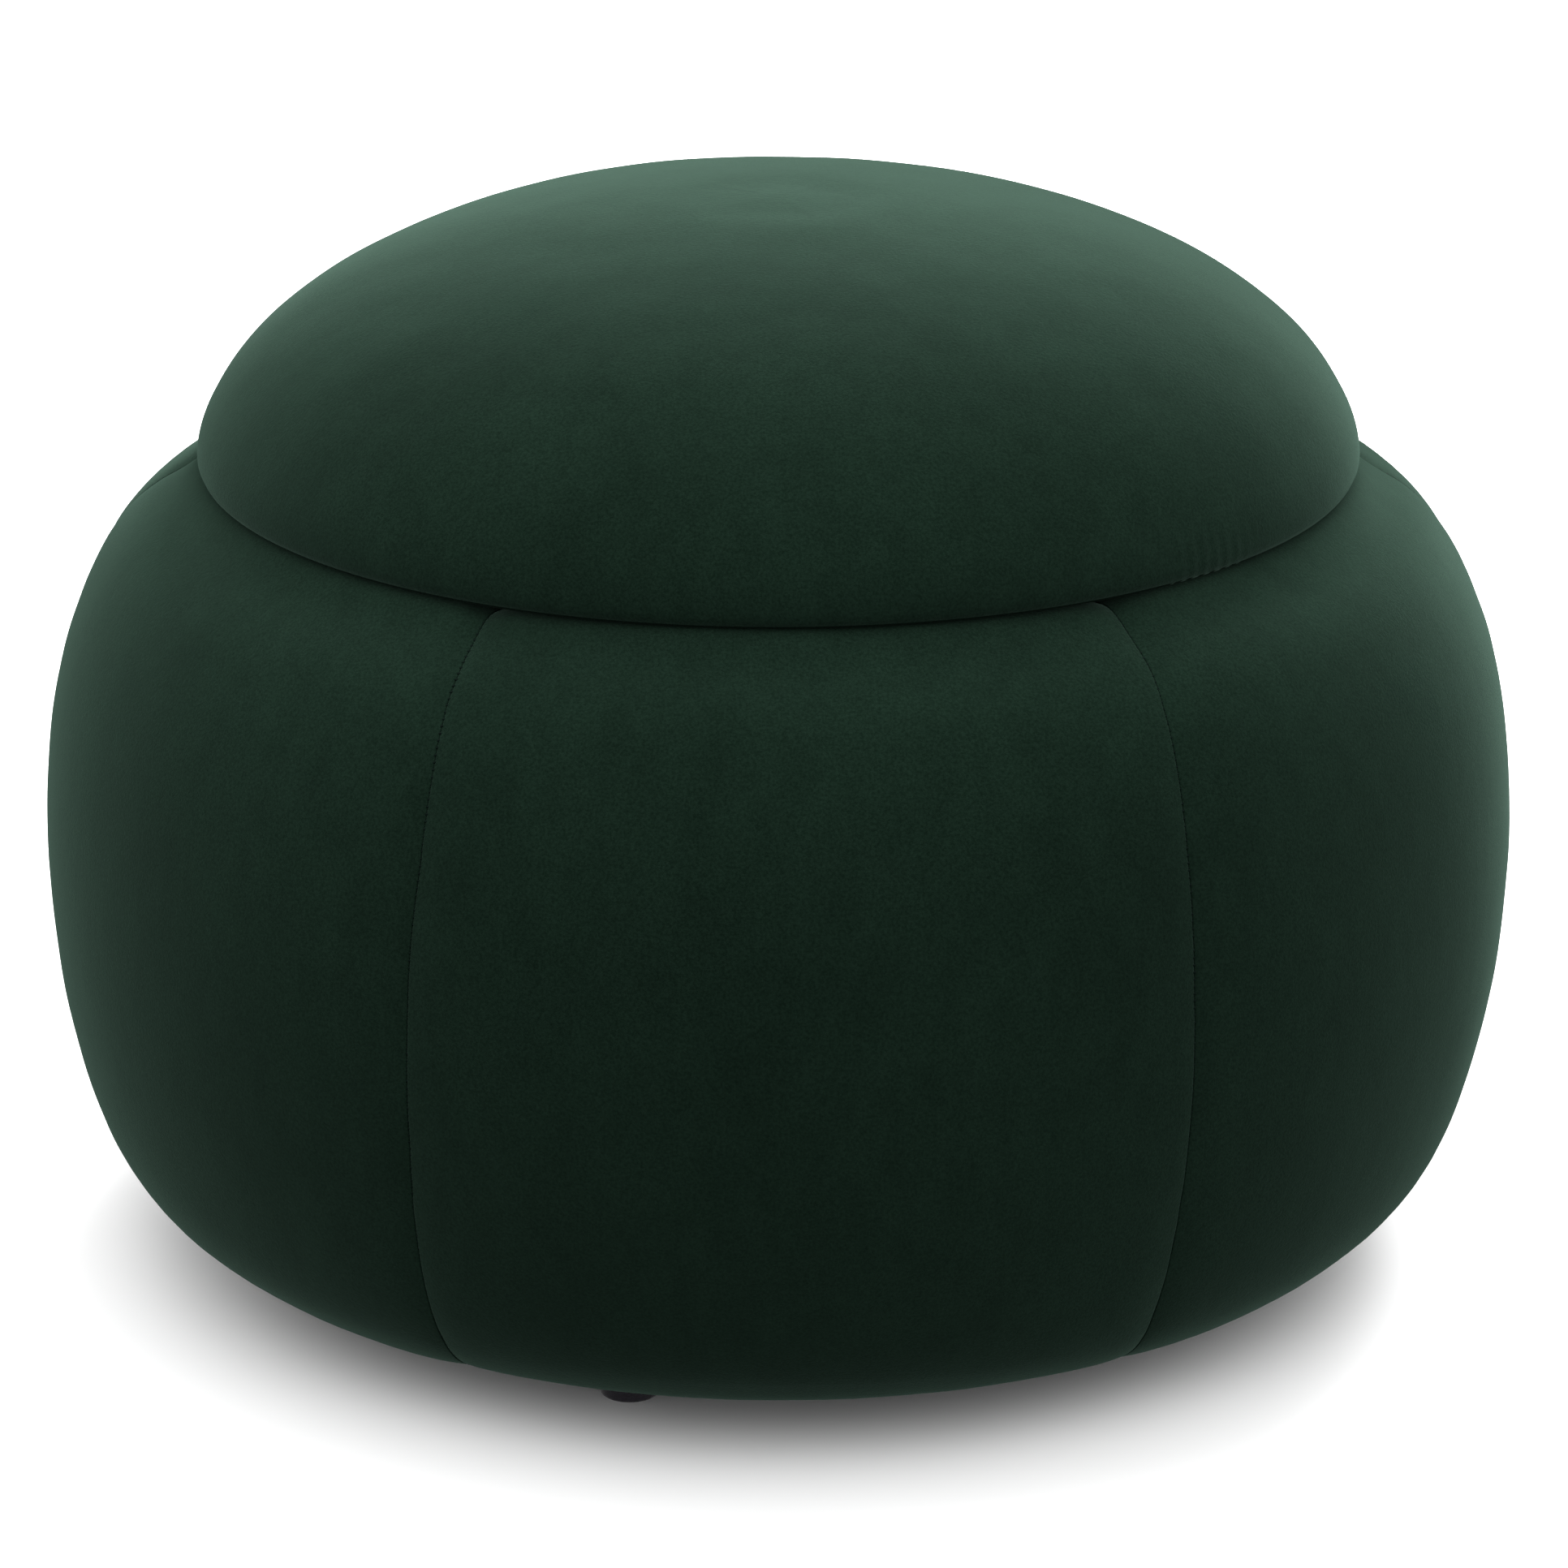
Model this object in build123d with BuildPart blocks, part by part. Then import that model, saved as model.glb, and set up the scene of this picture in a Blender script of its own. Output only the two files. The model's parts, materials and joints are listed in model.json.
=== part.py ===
from build123d import *

import os
from math import cos, radians, sin

# Round storage ottoman: a bulging, six-panel upholstered base and a domed cushion lid that lifts off.
# +Z is up, and the origin is on the floor, on the centre line. The front faces -Y.
# Lengths are in millimetres. Angles are in degrees, counted from +X towards +Y.

# Overall form
body_radius = 305  # the widest point of the base
base_depth = 146.2  # from the widest point down to the underside
shoulder_rise = 164  # from the widest point up to the crest of the shoulder
underside_radius = 242  # where the flat underside turns up into the side
opening_radius = 179.5  # clear mouth of the storage space
mouth_round = 14  # rolled edge of the mouth
seam_angles = (3.4, 60, 117, 172.5, 240, 300)  # the panels beside the front one are the widest

# Fullness of the side curve: 0 is a straight chamfer, 1 a square corner
shoulder_fullness = (0.858, 0.66)  # at the widest point, at the crest
skirt_fullness = (0.252, 0.772)  # at the widest point, at the underside

# Lid
lid_radius = 238.9
lid_dome = 103.1  # from the lid's widest point up to its top
lid_roll = 8  # from the lid's widest point down to its underside
lid_flat_radius = 222.8  # where the lid's flat underside starts to roll up
lid_fullness = (0.352, 0.73)  # at the lid's widest point, at its top
roll_fullness = 0.55

# Materials' thicknesses
cover_t = 1.5  # velvet with its backing
sheet_t = 0.8  # non-woven lining sheet
lining_t = 1
wadding_t = 6
drum_t = 3
backing_t = 2
board_t = 15
lid_board_t = 12

# Feet
foot_height = 18
foot_top_radius = 15
foot_bottom_radius = 12
foot_round = 2
foot_circle = 208
foot_count = 4
foot_phase = 251.3
foot_bore_radius = 5.5
foot_bore_depth = 8

# Wooden frame
rib_count = 6
board_radius = 232
ring_radius = 238
frame_radius = 276.5  # of the ribs, at the base's widest point
fit_gap = 0.5  # round the middle ring: to the backing, and at the bottom of its slots
rib_t = 15
notch_radius = 231  # to where the ribs and the middle ring are halved into each other
foam_over_ring = 14

# Fabric edges and hidden layers
cover_edge_radius = 212  # the side panels' raw edge, under the base
hem_depth = 45  # how far the side panels reach down inside the mouth
dust_radius = 231
floor_t = 3
lid_cover_edge = 204  # the lid cover's raw edge, under the lid
lid_lining_radius = 215
lid_board_radius = 222
locating_radius = 172
locating_t = 15
locating_chamfer = 2
seat_gap = 0.6  # between the lid's underside and the crest of the shoulder
foam_split = 35  # thickness of the lid's firm foam

# Fasteners
screw_shank = 2  # radius
screw_tip = 5
recess_length = 1.2  # of a screw's cross recess, in head radii
recess_width = 0.3
recess_depth = 0.4
frame_screw_head = 4
frame_screw_length = 45
foot_screw_head = 4.4
foot_screw_length = 23
disc_screw_head = 4
disc_screw_length = 25
disc_screw_circle = 120
disc_screw_count = 4
disc_screw_phase = 45
staple_crown = 10
staple_wire = 0.6
staple_width = 1.2
staple_leg = 8
cover_staple_count = 36
cover_staple_inset = 4  # from a velvet cover's raw edge
sheet_staple_count = 24
sheet_staple_inset = 3  # from a non-woven sheet's edge

# Heights that follow
underside_z = foot_height + sheet_t
equator_z = underside_z + base_depth
crest_z = equator_z + shoulder_rise
board_z = underside_z + cover_t
board_top = board_z + board_t
floor_top = board_top + floor_t
ring_top = crest_z - cover_t - foam_over_ring
ring_z = ring_top - board_t
lining_inner = opening_radius + cover_t
drum_inner = lining_inner + lining_t
drum_outer = drum_inner + drum_t
hem_z = crest_z - hem_depth

lid_lining_z = crest_z + seat_gap
lid_underside_z = lid_lining_z + sheet_t
lid_edge_z = lid_underside_z + lid_roll
lid_top_z = lid_edge_z + lid_dome
lid_board_z = lid_underside_z + cover_t
lid_board_top = lid_board_z + lid_board_t
split_z = lid_board_top + foam_split
locating_z = lid_lining_z - locating_t


def radial_plane(angle):
    """The upright plane whose local x runs outwards from the centre line at that angle."""
    outward = (cos(radians(angle)), sin(radians(angle)), 0)
    return Plane(origin=(0, 0, 0), x_dir=outward, z_dir=(outward[1], -outward[0], 0))


def panel_arc(index):
    """How far a panel reaches round the base, from its own seam to the next."""
    return (seam_angles[(index + 1) % len(seam_angles)] - seam_angles[index]) % 360


def side_curve(inset, start_radius, end_z):
    """The base's outline, that far inside its outer surface, from the underside into the mouth."""
    widest = body_radius - inset
    low, high = underside_z + inset, crest_z - inset
    mouth, crest_radius = opening_radius + inset, opening_radius + mouth_round
    k_low, k_under = skirt_fullness
    k_high, k_crest = shoulder_fullness
    Line((start_radius, low), (underside_radius, low))
    Bezier(
        (underside_radius, low),
        (underside_radius + k_under * (widest - underside_radius), low),
        (widest, equator_z - k_low * (equator_z - low)),
        (widest, equator_z),
    )
    Bezier(
        (widest, equator_z),
        (widest, equator_z + k_high * (high - equator_z)),
        (crest_radius + k_crest * (widest - crest_radius), high),
        (crest_radius, high),
    )
    RadiusArc((crest_radius, high), (mouth, crest_z - mouth_round), -(mouth_round - inset))
    Line((mouth, crest_z - mouth_round), (mouth, end_z))


def frame_curve(outset):
    """The bowed outer edge of the ribs, between the base board and the top ring."""
    ThreePointArc(
        (board_radius + outset, board_top),
        (frame_radius + outset, equator_z),
        (ring_radius + outset, ring_z),
    )


def lid_roll_curve(inset):
    """The lid's rolled lower edge, from its flat underside up to its widest point."""
    low, widest = lid_underside_z + inset, lid_radius - inset
    Bezier(
        (lid_flat_radius, low),
        (lid_flat_radius + roll_fullness * (widest - lid_flat_radius), low),
        (widest, lid_edge_z - roll_fullness * (lid_edge_z - low)),
        (widest, lid_edge_z),
    )


def lid_dome_curve(inset):
    """The lid's domed top, from its widest point to the centre line."""
    high, widest = lid_top_z - inset, lid_radius - inset
    k_edge, k_top = lid_fullness
    Bezier(
        (widest, lid_edge_z),
        (widest, lid_edge_z + k_edge * (high - lid_edge_z)),
        (k_top * widest, high),
        (0, high),
    )


def make_screw_blank(head_radius, length):
    """A countersunk wood screw without its recess: head at the origin, pointing down -Z."""
    with BuildPart() as blank:
        with BuildSketch(Plane.XZ):
            with BuildLine():
                Polyline(
                    (0, 0),
                    (head_radius, 0),
                    (screw_shank, screw_shank - head_radius),
                    (screw_shank, screw_tip - length),
                    (0, -length),
                    (0, 0),
                )
            make_face()
        revolve(axis=Axis.Z)
    return blank.part


def make_screws(places, blank, head_radius):
    """Screws at those places, with a cross recess in each head."""
    with BuildPart() as screws:
        with Locations(*places):
            add(blank)
            for turn in (0, 90):
                Box(
                    recess_length * head_radius,
                    recess_width * head_radius,
                    recess_depth * head_radius,
                    rotation=(0, 0, turn),
                    align=(Align.CENTER, Align.CENTER, Align.MAX),
                    mode=Mode.SUBTRACT,
                )
    return screws.part


def make_staples(radius, count, z):
    """A ring of staples driven upwards: each crown lies along the ring, centred on height z."""
    leg_offset = (staple_crown - staple_wire) / 2
    leg_align = (Align.CENTER, Align.CENTER, Align.MIN)
    with BuildPart() as staples:
        with Locations((0, 0, z)):
            with PolarLocations(radius, count, start_angle=180 / count):
                Box(staple_width, staple_crown, staple_wire)
                with Locations((0, -leg_offset), (0, leg_offset)):
                    Box(staple_width, staple_wire, staple_leg, align=leg_align)
    return staples.part


def upward(places, z):
    """Those places at height z, turned over so that a screw there points up."""
    return [Location((p.position.X, p.position.Y, z), (180, 0, 0)) for p in places]


# The screws' places. Each board is drilled with the screw's own blank, so thread and wood meet.
foot_places = PolarLocations(foot_circle, foot_count, start_angle=foot_phase).locations
rib_places = PolarLocations((drum_outer + board_radius) / 2, rib_count).locations
disc_places = PolarLocations(disc_screw_circle, disc_screw_count, start_angle=disc_screw_phase).locations
foot_screw_places = upward(foot_places, foot_bore_depth)
base_screw_places = upward(rib_places, board_z)
disc_screw_places = upward(disc_places, locating_z)
ring_screw_places = [Location((p.position.X, p.position.Y, ring_top)) for p in rib_places]

frame_screw = make_screw_blank(frame_screw_head, frame_screw_length)
foot_screw = make_screw_blank(foot_screw_head, foot_screw_length)
disc_screw = make_screw_blank(disc_screw_head, disc_screw_length)


def make_base_board():
    with BuildPart() as base_board:
        with BuildSketch(Plane.XY.offset(board_z)):
            Circle(board_radius)
        extrude(amount=board_t)
        with Locations(*base_screw_places):
            add(frame_screw, mode=Mode.SUBTRACT)
        with Locations(*foot_screw_places):
            add(foot_screw, mode=Mode.SUBTRACT)
    return base_board.part


def make_rib(index):
    """An upright rib, trimmed to the round of the drum inside it and of the backing around it."""
    with BuildPart() as rib:
        with BuildSketch(Plane.XZ):
            with BuildLine():
                frame_curve(0)
                Polyline(
                    (ring_radius, ring_z),
                    (drum_outer, ring_z),
                    (drum_outer, board_top),
                    (board_radius, board_top),
                )
            make_face()
            with Locations((notch_radius, equator_z)):
                Rectangle(
                    notch_radius, board_t, align=(Align.MAX, Align.CENTER), mode=Mode.SUBTRACT
                )
        revolve(axis=Axis.Z)
        with Locations((0, 0, equator_z)):
            Box(
                body_radius,
                rib_t,
                2 * shoulder_rise,
                align=(Align.MIN, Align.CENTER, Align.CENTER),
                mode=Mode.INTERSECT,
            )
        for place in (base_screw_places[0], ring_screw_places[0]):
            with Locations(place):
                add(frame_screw, mode=Mode.SUBTRACT)
    return rib.part.rotate(Axis.Z, index * 360 / rib_count)


def make_mid_ring():
    slot = frame_radius - notch_radius + fit_gap
    with BuildPart() as mid_ring:
        with BuildSketch(Plane.XY.offset(equator_z - board_t / 2)):
            Circle(frame_radius - fit_gap)
            Circle(drum_outer, mode=Mode.SUBTRACT)
            with PolarLocations(frame_radius - slot / 2, rib_count):
                Rectangle(slot, rib_t, mode=Mode.SUBTRACT)
        extrude(amount=board_t)
    return mid_ring.part


def make_top_ring():
    with BuildPart() as top_ring:
        with BuildSketch(Plane.XY.offset(ring_z)):
            Circle(ring_radius)
            Circle(drum_outer, mode=Mode.SUBTRACT)
        extrude(amount=board_t)
        with Locations(*ring_screw_places):
            add(frame_screw, mode=Mode.SUBTRACT)
    return top_ring.part


def make_tube(inner, outer, bottom, top):
    with BuildPart() as tube:
        with BuildSketch(Plane.XY.offset(bottom)):
            Circle(outer)
            Circle(inner, mode=Mode.SUBTRACT)
        extrude(amount=top - bottom)
    return tube.part


def make_disc(radius, bottom, top):
    with BuildPart() as disc:
        with BuildSketch(Plane.XY.offset(bottom)):
            Circle(radius)
        extrude(amount=top - bottom)
    return disc.part


def make_backing(index):
    """Bent card between two ribs, which holds the foam's shape."""
    with BuildPart() as backing:
        with BuildSketch(radial_plane(index * 360 / rib_count)):
            with BuildLine():
                frame_curve(0)
                frame_curve(backing_t)
                Line((board_radius, board_top), (board_radius + backing_t, board_top))
                Line((ring_radius, ring_z), (ring_radius + backing_t, ring_z))
            make_face()
        revolve(axis=Axis.Z, revolution_arc=360 / rib_count)
    return backing.part


def make_side_foam(index):
    """The foam of one panel, from the base board's edge up over the top ring to the mouth."""
    with BuildPart() as side_foam:
        with BuildSketch(radial_plane(seam_angles[index])):
            with BuildLine():
                side_curve(cover_t, board_radius, ring_top)
                frame_curve(backing_t)
                Polyline(
                    (board_radius, board_z),
                    (board_radius, board_top),
                    (board_radius + backing_t, board_top),
                )
                Polyline(
                    (ring_radius + backing_t, ring_z),
                    (ring_radius, ring_z),
                    (ring_radius, ring_top),
                    (lining_inner, ring_top),
                )
            make_face()
        revolve(axis=Axis.Z, revolution_arc=panel_arc(index))
    return side_foam.part


def make_side_cover(index):
    """One velvet panel, sewn to its neighbours along both long edges."""
    with BuildPart() as side_cover:
        with BuildSketch(radial_plane(seam_angles[index])):
            with BuildLine():
                side_curve(0, cover_edge_radius, hem_z)
                side_curve(cover_t, cover_edge_radius, hem_z)
                Line((cover_edge_radius, underside_z), (cover_edge_radius, board_z))
                Line((opening_radius, hem_z), (lining_inner, hem_z))
            make_face()
        revolve(axis=Axis.Z, revolution_arc=panel_arc(index))
    return side_cover.part


def make_dust_cover():
    with BuildPart() as dust_cover:
        with BuildSketch(Plane.XY.offset(foot_height)):
            Circle(dust_radius)
            with Locations(*[(p.position.X, p.position.Y) for p in foot_places]):
                Circle(screw_shank, mode=Mode.SUBTRACT)
        extrude(amount=sheet_t)
    return dust_cover.part


def make_foot(place):
    with BuildPart() as foot:
        with Locations((place.position.X, place.position.Y, foot_height / 2)):
            Cone(foot_bottom_radius, foot_top_radius, foot_height)
        fillet(foot.edges().group_by(Axis.Z)[0], foot_round)
        with Locations(*upward([place], 0)):
            CounterBoreHole(screw_shank, foot_bore_radius, foot_bore_depth)
            with Locations((0, 0, -foot_bore_depth)):
                add(foot_screw, mode=Mode.SUBTRACT)
    return foot.part


def make_lid_board():
    with BuildPart() as lid_board:
        with BuildSketch(Plane.XY.offset(lid_board_z)):
            Circle(lid_board_radius)
        extrude(amount=lid_board_t)
        with Locations(*disc_screw_places):
            add(disc_screw, mode=Mode.SUBTRACT)
    return lid_board.part


def make_locating_disc():
    """The disc under the lid that drops into the mouth and keeps the lid from sliding off."""
    with BuildPart() as locating_disc:
        with BuildSketch(Plane.XY.offset(locating_z)):
            Circle(locating_radius)
        extrude(amount=locating_t)
        chamfer(locating_disc.edges().group_by(Axis.Z)[0], locating_chamfer)
        with Locations(*disc_screw_places):
            add(disc_screw, mode=Mode.SUBTRACT)
    return locating_disc.part


def make_lid_lining():
    with BuildPart() as lid_lining:
        with BuildSketch(Plane.XY.offset(lid_lining_z)):
            Circle(lid_lining_radius)
            with Locations(*[(p.position.X, p.position.Y) for p in disc_places]):
                Circle(screw_shank, mode=Mode.SUBTRACT)
        extrude(amount=sheet_t)
    return lid_lining.part


def make_lid_foam(bottom, top):
    """A slice of the lid's foam dome, between those heights."""
    inset = cover_t + wadding_t
    with BuildPart() as lid_foam:
        with BuildSketch(Plane.XZ):
            with BuildLine():
                lid_dome_curve(inset)
                Polyline(
                    (lid_radius - inset, lid_edge_z),
                    (lid_board_radius, lid_edge_z),
                    (lid_board_radius, lid_board_top),
                    (0, lid_board_top),
                    (0, lid_top_z - inset),
                )
            make_face()
            with Locations((0, bottom)):
                Rectangle(
                    lid_radius, top - bottom, align=(Align.MIN, Align.MIN), mode=Mode.INTERSECT
                )
        revolve(axis=Axis.Z)
    return lid_foam.part


def make_lid_wadding():
    """Polyester wadding over the foam dome and round the lid board's edge."""
    inset = cover_t + wadding_t
    with BuildPart() as lid_wadding:
        with BuildSketch(Plane.XZ):
            with BuildLine():
                Line((lid_board_radius, lid_board_z), (lid_flat_radius, lid_board_z))
                lid_roll_curve(cover_t)
                lid_dome_curve(cover_t)
                Line((0, lid_top_z - cover_t), (0, lid_top_z - inset))
                lid_dome_curve(inset)
                Polyline(
                    (lid_radius - inset, lid_edge_z),
                    (lid_board_radius, lid_edge_z),
                    (lid_board_radius, lid_board_z),
                )
            make_face()
        revolve(axis=Axis.Z)
    return lid_wadding.part


def make_lid_cover():
    with BuildPart() as lid_cover:
        with BuildSketch(Plane.XZ):
            with BuildLine():
                for inset in (0, cover_t):
                    edge_z = lid_underside_z + inset
                    Line((lid_cover_edge, edge_z), (lid_flat_radius, edge_z))
                    lid_roll_curve(inset)
                    lid_dome_curve(inset)
                Line((lid_cover_edge, lid_underside_z), (lid_cover_edge, lid_board_z))
                Line((0, lid_top_z), (0, lid_top_z - cover_t))
            make_face()
        revolve(axis=Axis.Z)
    return lid_cover.part


def base_parts():
    """Every piece of the base, by name."""
    parts = {
        "base_board": make_base_board(),
        "mid_ring": make_mid_ring(),
        "top_ring": make_top_ring(),
        "inner_drum": make_tube(drum_inner, drum_outer, board_top, ring_top),
        "storage_lining": make_tube(lining_inner, drum_inner, floor_top, ring_top),
        "storage_floor": make_disc(drum_inner, board_top, floor_top),
        "dust_cover": make_dust_cover(),
        "foot_screws": make_screws(foot_screw_places, foot_screw, foot_screw_head),
        "base_screws": make_screws(base_screw_places, frame_screw, frame_screw_head),
        "ring_screws": make_screws(ring_screw_places, frame_screw, frame_screw_head),
        "side_cover_staples": make_staples(
            cover_edge_radius + cover_staple_inset, cover_staple_count, underside_z + staple_wire / 2
        ),
        "dust_cover_staples": make_staples(
            dust_radius - sheet_staple_inset, sheet_staple_count, foot_height
        ),
    }
    for index in range(rib_count):
        parts[f"rib_{index + 1}"] = make_rib(index)
        parts[f"backing_{index + 1}"] = make_backing(index)
    for index in range(len(seam_angles)):
        parts[f"side_foam_{index + 1}"] = make_side_foam(index)
        parts[f"side_cover_{index + 1}"] = make_side_cover(index)
    for index, place in enumerate(foot_places):
        parts[f"foot_{index + 1}"] = make_foot(place)
    return parts


def lid_parts():
    """Every piece of the lid, by name."""
    return {
        "lid_board": make_lid_board(),
        "locating_disc": make_locating_disc(),
        "lid_lining": make_lid_lining(),
        "lid_foam_firm": make_lid_foam(lid_edge_z, split_z),
        "lid_foam_soft": make_lid_foam(split_z, lid_top_z),
        "lid_wadding": make_lid_wadding(),
        "lid_cover": make_lid_cover(),
        "disc_screws": make_screws(disc_screw_places, disc_screw, disc_screw_head),
        "lid_cover_staples": make_staples(
            lid_cover_edge + cover_staple_inset, cover_staple_count, lid_underside_z + staple_wire / 2
        ),
        "lid_lining_staples": make_staples(
            lid_lining_radius - sheet_staple_inset, sheet_staple_count, lid_lining_z
        ),
    }


def main():
    os.makedirs("parts", exist_ok=True)
    for name, part in {**base_parts(), **lid_parts()}.items():
        part.label = name
        export_step(part, f"parts/{name}.step")


main()
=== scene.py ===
import json
from math import cos, exp, pi, radians, sin

import bpy
import numpy as np
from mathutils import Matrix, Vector, noise


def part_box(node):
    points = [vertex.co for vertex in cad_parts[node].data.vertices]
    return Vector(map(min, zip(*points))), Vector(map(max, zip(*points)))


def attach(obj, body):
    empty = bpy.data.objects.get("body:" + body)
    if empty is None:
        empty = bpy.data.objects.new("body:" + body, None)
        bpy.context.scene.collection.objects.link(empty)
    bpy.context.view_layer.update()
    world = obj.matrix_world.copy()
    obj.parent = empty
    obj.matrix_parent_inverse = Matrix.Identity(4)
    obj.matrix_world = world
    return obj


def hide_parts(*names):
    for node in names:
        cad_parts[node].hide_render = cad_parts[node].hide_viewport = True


# Round storage ottoman: six velvet side panels over foam, and a domed cushion lid that lifts off.
# Lengths are in metres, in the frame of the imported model. Angles are in radians from +X.

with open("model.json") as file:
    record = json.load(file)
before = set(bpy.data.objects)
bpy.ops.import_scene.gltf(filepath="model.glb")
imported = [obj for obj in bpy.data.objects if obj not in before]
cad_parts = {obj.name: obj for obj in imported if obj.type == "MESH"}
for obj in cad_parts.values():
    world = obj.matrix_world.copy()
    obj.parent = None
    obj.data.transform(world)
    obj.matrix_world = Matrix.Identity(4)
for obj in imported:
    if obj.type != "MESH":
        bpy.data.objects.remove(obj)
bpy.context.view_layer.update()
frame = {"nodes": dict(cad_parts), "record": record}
record = frame["record"]
nodes = frame["nodes"]
mm = 0.001

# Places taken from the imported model
side_low, side_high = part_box("side_cover_1")
body_radius = side_high.x  # at the panel's first seam, 3.4 degrees off the X axis
underside_z = side_low.z
crest_z = side_high.z
ring_low, ring_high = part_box("mid_ring")
equator_z = (ring_low.z + ring_high.z) / 2
board_low, board_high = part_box("base_board")
top_ring_low, top_ring_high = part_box("top_ring")
well_low, well_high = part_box("storage_lining")
floor_low, floor_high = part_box("storage_floor")
dust_low, dust_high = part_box("dust_cover")
lid_low, lid_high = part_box("lid_cover")
lid_board_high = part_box("lid_board")[1]
firm_low, firm_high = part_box("lid_foam_firm")
soft_low, soft_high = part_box("lid_foam_soft")
lid_lining_low, lid_lining_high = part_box("lid_lining")

# Cloth and padding
cover_t = 1.5 * mm
wadding_t = 6 * mm
lining_t = 1 * mm
opening_radius = well_high.x - lining_t - cover_t
mouth_round = 14 * mm
underside_radius = 242 * mm
cover_edge_radius = 212 * mm
hem_depth = 45 * mm
backing_t = 2 * mm
lid_radius = lid_high.x
lid_roll = 8 * mm
lid_flat_radius = 222.8 * mm
lid_cover_edge = 204 * mm
side_foam_gap, lid_foam_gap = 0.3 * mm, 0.2 * mm  # between the foam and what it touches

# Where the panels' seams run. The panels beside the front one are the widest.
seam_angles = np.radians((3.4, 60, 117, 172.5, 240, 300, 363.4))
panel_count = len(seam_angles) - 1

# Fullness of the outlines' curves, from 0, a straight chamfer, to 1, a square corner
shoulder_fullness = (0.858, 0.66)
skirt_fullness = (0.252, 0.772)
lid_fullness = (0.352, 0.73)
roll_fullness = 0.8

# How the velvet stands between its seams
crown = 5 * mm
crown_run_up, crown_run_down = 90 * mm, 60 * mm  # it grows and fades over these heights
crown_sink = 0.5  # the share of the crown by which the seams lie below the CAD surface
quick_crown_power = 2.2  # how square the crown is where nothing is simulated
groove = 0.5 * mm
seam_dip, dip_reach = 1.0 * mm, 6 * mm
pucker_height, pucker_size, pucker_reach = 0.30 * mm, 11 * mm, 9 * mm
# Painted shade: the velvet is darker and duller on this many columns beside each seam
painted_shade_columns = 1
# Painted shade: the lid's velvet is darker and duller up to this height above its lowest edge
painted_shade_height = 3.2 * mm

# The stitches
stitch_pitch = 2.9 * mm
thread_girth, thread_depth = 0.5 * mm, 0.25 * mm
thread_half_length, thread_dive = 1.0 * mm, 0.35 * mm  # its ends dive into the velvet
thread_slant, slant_spread = 0.25, 0.2
thread_blunt = 0.25  # the square of the share of the girth that is left at its ends
thread_sides, thread_rings = 6, 5

# Unevenness of the velvet, as (height, size of its lumps, seed)
panel_waves = ((0.5 * mm, 80 * mm, 0.0), (0.18 * mm, 28 * mm, 7.0))
lid_waves = ((0.9 * mm, 110 * mm, 5.0), (0.25 * mm, 30 * mm, 9.0))
lid_wave_rise = 20 * mm  # the lid's unevenness grows over this height above its roll

# The lid's soft edge turns up a little, and the shoulder's foam stands up against it
edge_rise = 1 * mm
rise_radius = 216 * mm
shoulder_lift = 3.5 * mm
lift_radius, lift_width = 233 * mm, 11 * mm

# How far each front seam wanders sideways, towards the next panel, at those heights, and how far
# and over what height the other seams do
wander_height = np.array([18, 55, 78, 103, 128, 164, 212, 250, 279, 300, 314, 329]) * mm
seam_wander = {
    4: np.array([-4.5, -5, -5, -4.2, -2.6, -1.6, -0.3, 2.5, 2.6, 1.7, 0, -3.5]) * mm,
    5: np.array([-0.5, -1, -0.5, 0, 0, 0, -0.3, -0.6, 0.3, 1.5, 4, 6]) * mm,
}
other_wander, other_wander_size = 1.5 * mm, 90 * mm

# A patch of fine gathers low on the lid's right
gather_angle, gather_reach = radians(312.6), radians(9)
gather_pitch, gather_depth = radians(1.55), 0.12 * mm
gather_half_width, gather_half_height = radians(5.6), 8 * mm
gather_z = lid_low.z + 11 * mm

# The cloth simulations
settle_frames, cloth_quality = 20, 5
side_rows, wall_rows, side_segments = 72, 8, 180
side_pressure, side_stiffness = 8, 1
crown_percentile = 99  # the simulated swell is scaled until this percentile of it is the crown
lid_rows, lid_segments = 60, 144
lid_board_rings = np.array([60, 120, 170]) * mm
lid_pressure, lid_stiffness = 0.5, 15
lid_slack = 4 * mm
lid_held_height = 2 * mm
lid_calm_radius = 75 * mm  # inside it the cells are slivers, and the swell fades to its mean

# Fineness of the visible meshes
curve_points = 60
panel_rows, foam_rows = 150, 90
near_seam = np.array([0.12, 0.35, 0.7, 1.1, 1.6, 2.4, 3.6, 5.4, 8, 12, 17, 24]) * mm
columns_between = 10
lid_edge_points = 8  # under the lid's edge, where it turns up
lid_cover_rows, lid_cover_segments = 130, 400
gather_step = radians(0.2)

studio_light = 2.2


# ------------------------------------------------------------ meshes

def bezier(points, count):
    """Points along a cubic Bezier curve."""
    t = np.linspace(0, 1, count)[:, None]
    a, b, c, d = (np.array(p, float) for p in points)
    return (1 - t) ** 3 * a + 3 * t * (1 - t) ** 2 * b + 3 * t**2 * (1 - t) * c + t**3 * d


def chain(*runs):
    """Those runs of points end to end, with repeated joints taken out."""
    points = np.vstack([np.array(r, float) for r in runs])
    step = np.linalg.norm(np.diff(points, axis=0), axis=1)
    return points[np.concatenate([[True], step > 1e-7])]


def lengths(points):
    """The distance along a run of points, at each point."""
    return np.concatenate([[0], np.cumsum(np.linalg.norm(np.diff(points, axis=0), axis=1))])


def resample(points, count):
    """The same run with evenly spaced points."""
    s = lengths(points)
    at = np.linspace(0, s[-1], count)
    return np.stack([np.interp(at, s, points[:, k]) for k in range(points.shape[1])], axis=1)


def normals_of(section):
    """The outward normals (radius, z) of a section that is drawn from below upwards."""
    tangent = np.gradient(section, axis=0)
    tangent /= np.linalg.norm(tangent, axis=1)[:, None]
    return np.stack([tangent[:, 1], -tangent[:, 0]], axis=1)


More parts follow.
